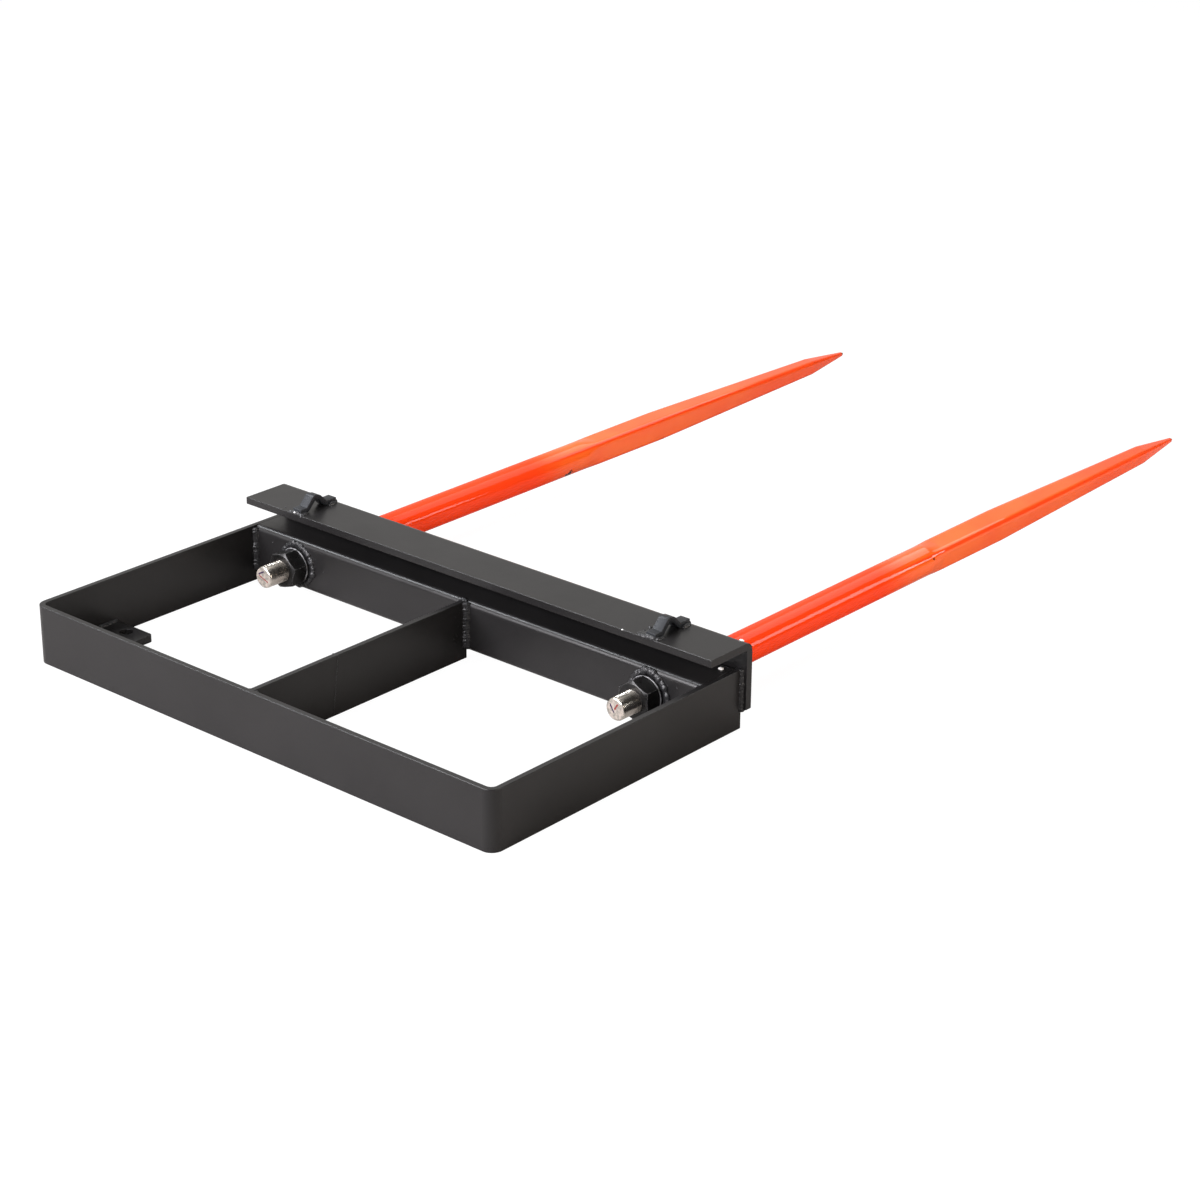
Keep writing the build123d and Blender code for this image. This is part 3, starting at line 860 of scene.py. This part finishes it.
def place_drop(name, source, middle, half_sizes, turn=Matrix.Identity(3)):
    """A copy of a round drop, stretched to its half sizes, turned and put in its place."""
    drop = bpy.data.objects.new(name, source.data.copy())
    drop.data.transform(Matrix.Translation(middle) @ turn.to_4x4() @ Matrix.Diagonal((*half_sizes, 1)))
    bpy.context.scene.collection.objects.link(drop)
    return drop


def frame_of(along, up):
    """Turn whose X runs along a weld, and whose Z stands up from it."""
    along = Vector(along).normalized()
    up = Vector(up).normalized()
    return Matrix((along, up.cross(along), up)).transposed()


def line_puddles(draw, start, end, first, second, leg, spread=0.1):
    """Puddles along the corner between two faces, whose directions away from it are first and second."""
    start, end = Vector(start), Vector(end)
    run = end - start
    count = max(2, round(run.length / PUDDLE_PITCH))
    turn = frame_of(run, Vector(first) + Vector(second)) @ Matrix.Rotation(PUDDLE_LEAN, 3, "Y")
    puddles = []
    for step in range(count + 1):
        share = step / count
        size = leg * (1 + draw.uniform(-spread, spread))
        shift = Vector([draw.uniform(-PUDDLE_SHIFT, PUDDLE_SHIFT) * leg for _ in range(3)])
        half_sizes = (ALONG_SHARE * PUDDLE_PITCH, SPREAD_SHARE * size, CROWN_SHARE * size)
        puddles.append((start + run * share + shift, half_sizes, turn))
    return puddles


def ring_puddles(draw, middle, radius, leg_out, leg_up, start, sweep, lumps, up):
    """Puddles round a tine's axis; angles run from +X towards +Z."""
    count = round(sweep * radius / PUDDLE_PITCH)
    puddles = []
    for step in range(count + 1):
        angle = start + sweep * step / count
        outward = Vector((math.cos(angle), 0, math.sin(angle)))
        along = Vector((-math.sin(angle), 0, math.cos(angle)))
        swell = 1 + draw.uniform(-lumps, lumps)
        centre = Vector(middle) + outward * (radius + draw.uniform(-lumps, lumps) * leg_out * RING_SHIFT)
        length = ALONG_SHARE * PUDDLE_PITCH * draw.uniform(*RING_LENGTHS)
        lean = Matrix.Rotation(draw.uniform(*RING_LEANS), 3, "Y")
        puddles.append((centre, (length, leg_out * swell, leg_up * swell), frame_of(along, up) @ lean))
    return puddles


def lay_weld(name, puddles, grain, replaced, soften=3):
    """Melts puddles, each a middle, half sizes and a turn, into one bead that stands for a CAD node."""
    bead = join(name, [place_drop(name, puddle, *shape) for shape in puddles])
    finish_with(bead, "REMESH", mode="VOXEL", voxel_size=grain)
    finish_with(bead, "SMOOTH", factor=0.5, iterations=soften)
    normals = [vertex.normal.copy() for vertex in bead.data.vertices]
    for vertex, normal in zip(bead.data.vertices, normals):
        vertex.co += normal * LUMP_HEIGHT * noise.noise(vertex.co * LUMP_COUNT)
    smooth(bead, 80)
    hand_over(bead, finishes["weld_black"], "frame_paint", replaced)


FRAME_SEED = 11
BEAM_END_LEG = 7 * MM
BEAM_END_LOW = BEAM_BOTTOM + 7 * MM
BEAM_END_HIGH = BEAM_TOP - 6 * MM
PLATE_END_LEG = 5 * MM
PLATE_END_LOW = WEB_BOTTOM - 1 * MM
PLATE_END_HIGH = BEAM_TOP - 2 * MM
LUG_LEG = 4 * MM
LUG_BEAD_INSET = 4 * MM
PLATE_LOWER_LEG = 7 * MM
PLATE_LOWER_REACH = 240 * MM


def weld_frame():
    """Beads at the beam's ends, at the web's ends and along its lower edge, and at the lugs."""
    draw = random.Random(FRAME_SEED)
    for side, sign in SIDES:
        inward = (-sign, 0, 0)
        outward = (sign, 0, 0)
        inside = (sign * BEAM_END, BEAM_REAR)
        lay_weld(f"{side}_beam_end_bead", line_puddles(
            draw, (*inside, BEAM_END_LOW), (*inside, BEAM_END_HIGH), inward, REARWARD, BEAM_END_LEG,
        ), FINE_GRAIN, f"{side}_beam_end_weld")
        outside = (sign * FRAME_SIDE, BEAM_FRONT)
        lay_weld(f"{side}_plate_end_bead", line_puddles(
            draw, (*outside, PLATE_END_LOW), (*outside, PLATE_END_HIGH), outward, REARWARD, PLATE_END_LEG,
        ), FINE_GRAIN, f"{side}_plate_end_weld")
        lay_weld(f"{side}_lug_bead", line_puddles(
            draw,
            (sign * BEAM_END, lug_low.y + LUG_BEAD_INSET, lug_high.z),
            (sign * BEAM_END, lug_high.y - LUG_BEAD_INSET, lug_high.z),
            inward, UPWARD, LUG_LEG,
        ), FINE_GRAIN, f"{side}_lug_weld")
    lay_weld("plate_lower_bead", line_puddles(
        draw,
        (-PLATE_LOWER_REACH, BEAM_FRONT, WEB_BOTTOM),
        (PLATE_LOWER_REACH, BEAM_FRONT, WEB_BOTTOM),
        FORWARD, DOWNWARD, PLATE_LOWER_LEG,
    ), COARSE_GRAIN, "plate_lower_weld")


BAR_SEED = 23
BAR_FRONT_LEG = 7 * MM
BAR_FRONT_LOW = BEAM_BOTTOM + 6 * MM
BAR_FRONT_HIGH = BEAM_TOP - 5 * MM
BAR_FRONT_SPREAD = 0.16
BAR_REAR_LEG = 6.5 * MM
BAR_REAR_LOW = 5 * MM
BAR_REAR_HIGH = 75 * MM
SEAM_STEPS = 44

# Lumps over the bar's top corner, at the beam's rounding: middle and size, in millimetres
BAR_TOP_LUMPS = (
    ((1, 153.5, 78.5), 4.5),
    ((-3, 155, 79), 4.2),
    ((4.5, 152, 76), 4.4),
    ((0, 151, 79), 2.6),
)
BAR_LUMP_TURN = frame_of((1, 0, 0), (0, -0.5, 1))

# Middles of the lumps on the seam's top, and the half sizes that they share
SEAM_TOP_LUMPS = (Vector((0, -78, 79.4)) * MM, Vector((0, -76, 79.4)) * MM)
SEAM_LUMP_SIZES = (2.6 * MM, 3.6 * MM, 0.6 * MM)


def weld_middle_bar():
    """Both faces of the middle bar: at the beam, at the rear of the frame and over the slanted seam."""
    draw = random.Random(BAR_SEED)
    front = []
    rear = []
    seam = []
    strip_inner = strip_low.y + 2 * BAR_HALF
    for sign in (-1, 1):
        face = sign * BAR_HALF
        outward = (sign, 0, 0)
        front += line_puddles(
            draw, (face, BEAM_REAR, BAR_FRONT_LOW), (face, BEAM_REAR, BAR_FRONT_HIGH), outward, REARWARD,
            BAR_FRONT_LEG, BAR_FRONT_SPREAD,
        )
        rear += line_puddles(
            draw, (face, strip_inner, BAR_REAR_LOW), (face, strip_inner, BAR_REAR_HIGH), outward, FORWARD,
            BAR_REAR_LEG,
        )
        foot = SEAM_FOOT + Vector((face, 0, 0))
        head = SEAM_TOP + Vector((face, 0, 0))
        for step in range(SEAM_STEPS + 1):
            middle = foot.lerp(head, step / SEAM_STEPS)
            half_sizes = (1.6 * MM, draw.uniform(1.0, 1.5) * MM, draw.uniform(0.45, 0.75) * MM)
            seam.append((middle, half_sizes, frame_of(head - foot, outward)))
    for middle, size in BAR_TOP_LUMPS:
        half_sizes = (size * MM, 0.9 * size * MM, 0.62 * size * MM)
        front.append((Vector(middle) * MM, half_sizes, BAR_LUMP_TURN))
    for middle in SEAM_TOP_LUMPS:
        seam.append((middle, SEAM_LUMP_SIZES, frame_of(FORWARD, UPWARD)))
    lay_weld("middle_bar_front_bead", front, FINE_GRAIN, "middle_bar_front_weld")
    lay_weld("middle_bar_rear_bead", rear, FINE_GRAIN, "middle_bar_rear_weld")
    lay_weld("middle_bar_seam_bead", seam, SEAM_GRAIN, "middle_bar_seam_weld", 1)


RING_SEEDS = (37, 53)

# Passes behind the beam: radius, half sizes outwards and rearwards, start, sweep, unevenness. The second
# goes over the top and right, where the photograph shows the bead rough and high.
REAR_PASSES = (
    (28.3 * MM, 4.0 * MM, 2.4 * MM, 0, math.tau, 0.22),
    (29.8 * MM, 4.4 * MM, 3.4 * MM, math.radians(-20), math.radians(125), 0.4),
)
FRONT_RING_OFFSET = 0.4 * MM
FRONT_RING_OUT = 5.4 * MM
FRONT_RING_UP = 5.2 * MM
FRONT_RING_UNEVENNESS = 0.12
WEB_EDGE_OVERLAP = math.radians(4)


def weld_sockets():
    """Heavy uneven rings round the sockets, behind the beam and on the web."""
    for (side, sign), seed in zip(SIDES, RING_SEEDS):
        draw = random.Random(seed)
        rings = []
        for shape in REAR_PASSES:
            rings += ring_puddles(draw, (sign * TINE_X, BEAM_REAR, TINE_Z), *shape, REARWARD)
        lay_weld(f"{side}_socket_rear_ring", rings, FINE_GRAIN, f"{side}_socket_rear_weld", 2)
        below = math.asin((TINE_Z - WEB_BOTTOM) / SOCKET_RADIUS) - WEB_EDGE_OVERLAP
        ring = ring_puddles(
            draw, (sign * TINE_X, PLATE_FRONT, TINE_Z), SOCKET_RADIUS + FRONT_RING_OFFSET,
            FRONT_RING_OUT, FRONT_RING_UP, -below, math.pi + 2 * below, FRONT_RING_UNEVENNESS, FORWARD,
        )
        lay_weld(f"{side}_socket_front_ring", ring, FINE_GRAIN, f"{side}_socket_front_weld")


# Puddles at the chain loops: place, measured from the loop's middle, the beam's rear face and the flange's
# top, then half sizes along X, along Y and upwards, all in millimetres
RIGHT_LOOP_REAR = (
    ((-17, 7, -0.5), (8, 6, 2.6)),
    ((-10, 5, -0.3), (8, 6, 3.4)),
    ((-12, 14, -0.6), (7, 9, 2.4)),
    ((-4, 4, 0.5), (7, 4.5, 4.2)),
    ((3, 4, 0.4), (7, 4.5, 4.0)),
    ((8, 6.5, -0.4), (5.5, 5, 3.6)),
    ((-21, 27, -1), (3.5, 2.6, 3.4)),
    ((10.5, 4.5, 0), (2.8, 2.6, 3.6)),
    ((-8.5, 10, 0), (4, 8, 4.6)),
    ((8.6, 12, -0.8), (4, 6, 3.2)),
)
LEFT_LOOP_REAR = (
    ((-11, 4, -0.8), (6, 4.2, 2.8)),
    ((-5, 3.4, 0), (6, 3.8, 3.8)),
    ((2, 3.4, 0.2), (6, 3.8, 4.0)),
    ((8, 3.6, -0.5), (5.5, 4, 3.0)),
    ((-9, 9, -0.6), (4, 7, 3.2)),
    ((8.6, 9, -0.6), (3.6, 6, 3.0)),
    ((-3, 1.8, -1.5), (3, 2.2, 2.6)),
    ((9.5, 0.9, -1.8), (2.6, 1.8, 2.4)),
)
LOOP_FRONT = (
    ((-1, 68.5, 0.4), (10, 5, 4.6)),
    ((8.6, 61, -0.8), (4, 8, 4.6)),
    ((-8.8, 62, -0.8), (4, 7, 4.2)),
)


def weld_loops():
    """Short rough welds that bury the feet of the chain loops."""
    level = frame_of((1, 0, 0), UPWARD)
    for side, sign in SIDES:
        origin = Vector((sign * TINE_X, BEAM_REAR, FLANGE_TOP))
        rear = RIGHT_LOOP_REAR if sign > 0 else LEFT_LOOP_REAR
        for part, puddles in (("rear", rear), ("front", LOOP_FRONT)):
            placed = [
                (origin + Vector(middle) * MM, Vector(half_sizes) * MM, level)
                for middle, half_sizes in puddles
            ]
            lay_weld(f"{side}_loop_{part}_bead", placed, FINE_GRAIN, f"{side}_loop_{part}_weld", 1)


SPATTER_SEED = 71
BEAM_DROPS = 26
FLANGE_DROPS = 14
BAR_DROPS = 10
BEAM_ROUNDING = 9 * MM


def spatter_drop(draw, ball, middle, normal, size):
    """A drop stuck to a face, a little squashed."""
    crown = size * draw.uniform(0.45, 0.8)
    width = size * draw.uniform(0.8, 1.2)
    along = (1, 0, 0) if abs(normal[0]) < 0.5 else FORWARD
    return place_drop("drop", ball, middle, (size, width, crown), frame_of(along, normal))


def throw_spatter():
    """Small drops that the torch threw on the beam, the flange and the middle bar beside the welds."""
    draw = random.Random(SPATTER_SEED)
    ball = make_round_drop("spatter_ball", subdivisions=2, unevenness=0.12, lump_count=1.7)
    drops = []
    for sign in (-1, 1):
        for _ in range(BEAM_DROPS):
            angle = draw.uniform(0, math.tau)
            reach = draw.uniform(36, 52) * MM
            x = sign * TINE_X + reach * math.cos(angle)
            z = TINE_Z + reach * math.sin(angle)
            if BEAM_BOTTOM + BEAM_ROUNDING < z < BEAM_TOP - BEAM_ROUNDING:
                size = draw.uniform(0.5, 1.1) * MM
                drops.append(spatter_drop(draw, ball, (x, BEAM_REAR, z), REARWARD, size))
        for _ in range(FLANGE_DROPS):
            x = sign * TINE_X + draw.uniform(-30, 26) * MM
            y = BEAM_REAR + draw.choice((draw.uniform(3, 26), draw.uniform(50, 64))) * MM
            size = draw.uniform(0.5, 1.2) * MM
            drops.append(spatter_drop(draw, ball, (x, y, FLANGE_TOP), UPWARD, size))
        for _ in range(BAR_DROPS):
            z = draw.uniform(14, 72) * MM
            y = BEAM_REAR - draw.uniform(8, 26) * MM
            size = draw.uniform(0.4, 0.9) * MM
            drops.append(spatter_drop(draw, ball, (sign * BAR_HALF, y, z), (sign, 0, 0), size))
    piece = join("weld_spatter", drops)
    bpy.data.objects.remove(ball)
    smooth(piece, 80)
    hand_over(piece, finishes["weld_black"], "frame_paint")


# Painted glints: white flecks on the bend, in the slot, on the left loop and on the flange's rear edge,
# standing for
# bright reflections: place and size, in millimetres
GLINT_FLECKS = (
    ((391.5, 231.6, 112.2), 3.0),
    ((380.7, 206.1, 80.2), 3.0),
    ((-313.8, 153.8, 118.6), 1.5),
    ((267.8, 153.0, 116.6), 1.2),
)


def add_glint_flecks():
    """Specks of weld metal, coloured white as painted glints."""
    drops = []
    for middle, size in GLINT_FLECKS:
        half_sizes = (size * 1.2 * MM, size * MM, size * 0.7 * MM)
        drops.append(place_drop("glint_fleck", puddle, Vector(middle) * MM, half_sizes))
    piece = join("painted_glints", drops)
    smooth(piece, 80)
    hand_over(piece, finishes["white_glint"], "frame_paint")


# The scene, put together

add_camera()
for lamp in LAMPS:
    add_area_lamp(*lamp)
paint_surround()
lay_floor()

effects = {
    "paint_skin": make_paint_skin(),
    "cloud": make_cloud(),
    "edge_wear_and_highlight": make_edge_wear_and_highlight(),
    "weld_skin": make_weld_skin(),
    "turned_rings": make_turned_rings(),
    "mark": make_mark(),
    "chip": make_chip(),
}
finishes = {
    "frame_black": make_black_paint("frame_black", FRAME_BLACKS, rough=0.31, specular=0.32),
    "loop_black": make_black_paint("loop_black", LOOP_BLACKS, rough=0.42, specular=0.25),
    "weld_black": make_weld_black(),
    "nut_black": make_nut_black(),
    "rubbed_steel": make_rubbed_steel(),
    "bare_steel": make_bare_steel(),
    "tine_orange": make_tine_orange(),
    "white_glint": make_white_glint(),
}

# Finishes of the CAD nodes, by the last word of their names; all others are frame_black
NODE_FINISHES = {"tine": "tine_orange", "nut": "nut_black", "loop": "loop_black", "weld": "weld_black"}

for name, node in nodes.items():
    kind = name.split("_")[-1]
    node.data.materials.clear()
    node.data.materials.append(finishes[NODE_FINISHES.get(kind, "frame_black")])

for side, sign in SIDES:
    round_edges(f"{side}_chain_loop", LOOP_ROUNDING, finishes["loop_black"], "frame_paint")
    round_edges(f"{side}_lug", LUG_ROUNDING, finishes["frame_black"], "frame_paint")
    round_edges(f"{side}_nut", NUT_ROUNDING, finishes["nut_black"], "nut_black")
    cut_thread(side, sign)
    turn_rim(side, sign)

puddle = make_round_drop("puddle", subdivisions=3, unevenness=0.05, lump_count=2.1)
weld_frame()
weld_middle_bar()
weld_sockets()
weld_loops()
throw_spatter()
add_glint_flecks()
bpy.data.objects.remove(puddle)
